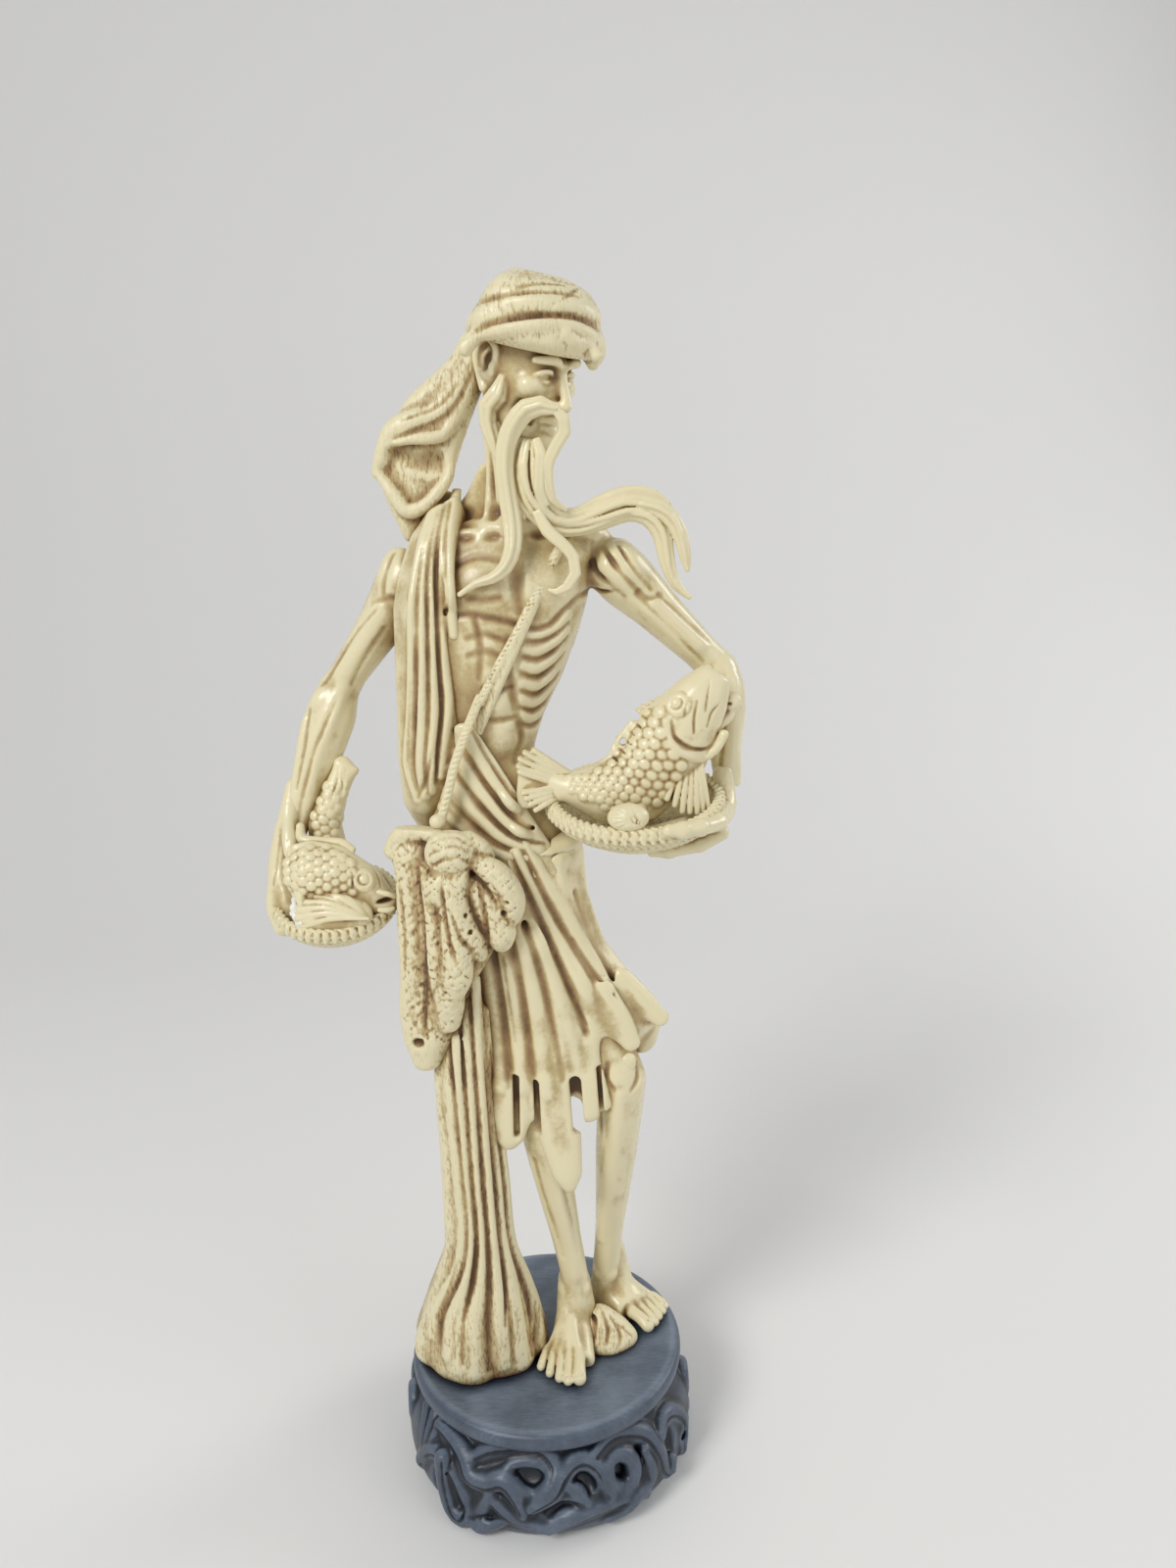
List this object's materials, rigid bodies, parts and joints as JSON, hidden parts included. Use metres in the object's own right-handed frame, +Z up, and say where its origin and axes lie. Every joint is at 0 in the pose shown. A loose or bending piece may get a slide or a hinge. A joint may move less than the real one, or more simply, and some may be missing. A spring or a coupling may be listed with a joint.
{
  "type": "okimono figurine",
  "caption": "Standing figure of a lean old fisherman with fish baskets and a gathered net, in imitation ivory, on a round dark stand carved with interlaced scrolls.",
  "frame": {"origin": "centre of the stand's flat foot, on the surface it stands on", "axes": "+Z up along the figure, -Y the way the figure faces, +X towards the figure's left hand"},
  "size_m": [0.1608, 0.1014, 0.4076],
  "materials": {
    "ivory_resin": "cream moulded resin, satin gloss, with a tan brown wash in the recesses",
    "slate_stand": "slate grey painted moulding with a low sheen",
    "peg_wood": "plain hidden pegs"
  },
  "bodies": {
    "root": {"stand_plate": "slate_stand", "stand_drum": "slate_stand", "stand_scrollwork": "slate_stand", "torso": "ivory_resin", "head": "ivory_resin", "hat": "ivory_resin", "hat_tail": "ivory_resin", "beard_plume": "ivory_resin", "beard_curl": "ivory_resin", "right_moustache": "ivory_resin", "left_moustache": "ivory_resin", "right_arm": "ivory_resin", "right_hand": "ivory_resin", "left_arm": "ivory_resin", "left_hand": "ivory_resin", "right_basket": "ivory_resin", "right_carp": "ivory_resin", "right_carp_tail": "ivory_resin", "cockle_shell": "ivory_resin", "left_basket": "ivory_resin", "left_carp": "ivory_resin", "small_shell": "ivory_resin", "shoulder_robe": "ivory_resin", "waist_wrap": "ivory_resin", "skirt": "ivory_resin", "sash": "ivory_resin", "shoulder_cord": "ivory_resin", "net_bundle": "ivory_resin", "net_fall": "ivory_resin", "net_spill": "ivory_resin", "right_leg": "ivory_resin", "left_leg": "ivory_resin", "neck_dowel": "peg_wood", "waist_dowel": "peg_wood", "shoulder_dowels": "peg_wood", "wrist_dowels": "peg_wood", "hip_dowels": "peg_wood"}
  },
  "joints": []
}
